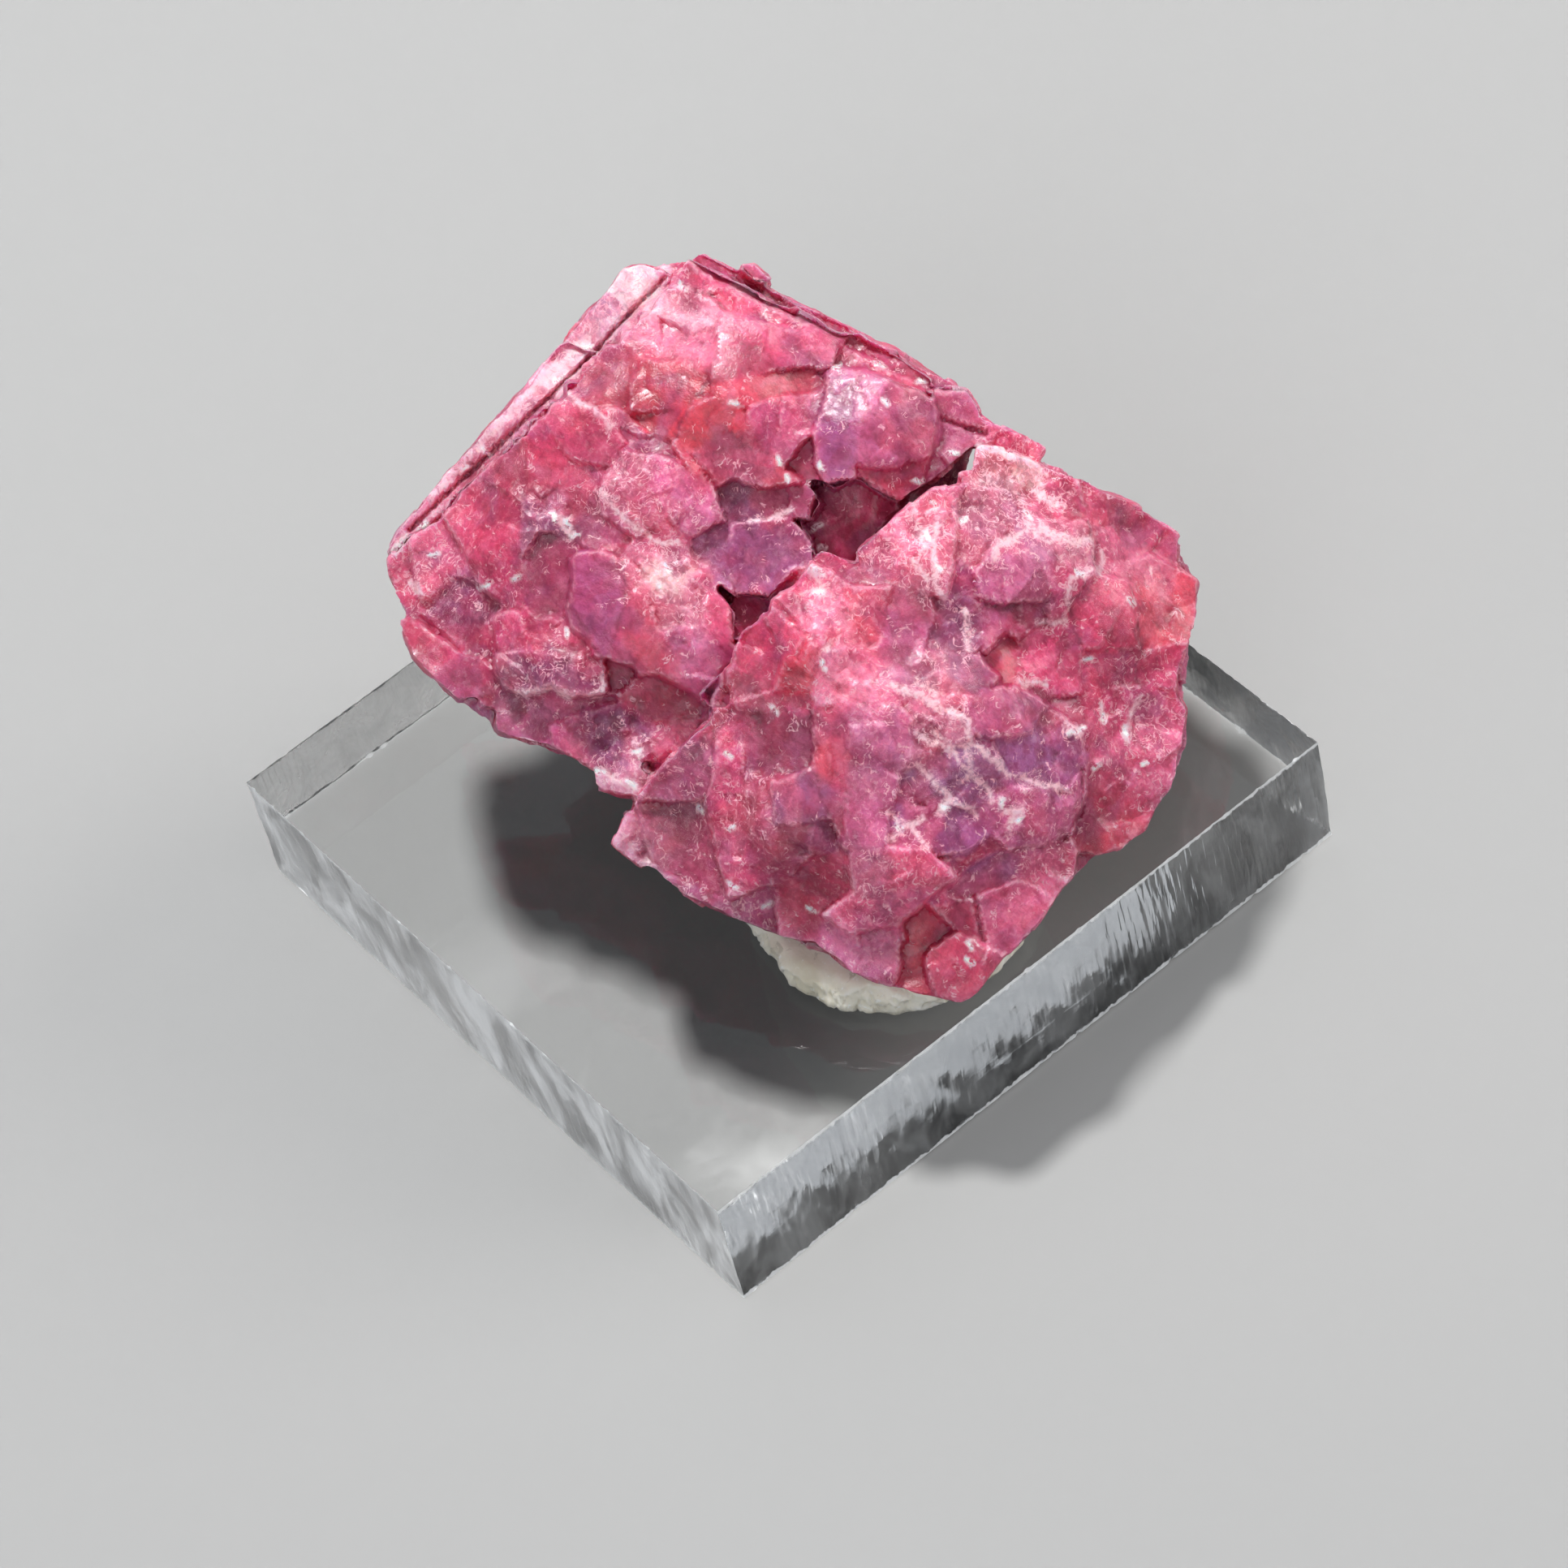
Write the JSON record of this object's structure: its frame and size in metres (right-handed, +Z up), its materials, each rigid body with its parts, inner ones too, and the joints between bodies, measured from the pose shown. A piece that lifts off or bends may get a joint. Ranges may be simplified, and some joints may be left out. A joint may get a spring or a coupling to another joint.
{
  "type": "spinel crystal specimen on acrylic base",
  "caption": "Pink spinel crystal with a stepped mosaic front, fixed with mineral tack on a clear square sawn acrylic base, as a mineral display piece.",
  "frame": {"origin": "middle of the acrylic base's underside", "axes": "+Z up, square to the base's top and underside; X and Y along the base's sides; the crystal's mosaic front looks toward -X, -Y and up"},
  "size_m": [0.0329, 0.0324, 0.0234],
  "materials": {
    "acrylic": "clear colourless acrylic, polished top and underside, sawn sides with fine ridges",
    "tack": "pale greenish-white putty, smooth with folds and a torn edge",
    "spinel": "translucent pink to raspberry, glassy mosaic faces with frosted and fractured patches, grey-violet in places"
  },
  "bodies": {
    "root": {"acrylic_base": "acrylic", "mineral_tack": "tack", "spinel_crystal": "spinel"}
  },
  "joints": []
}
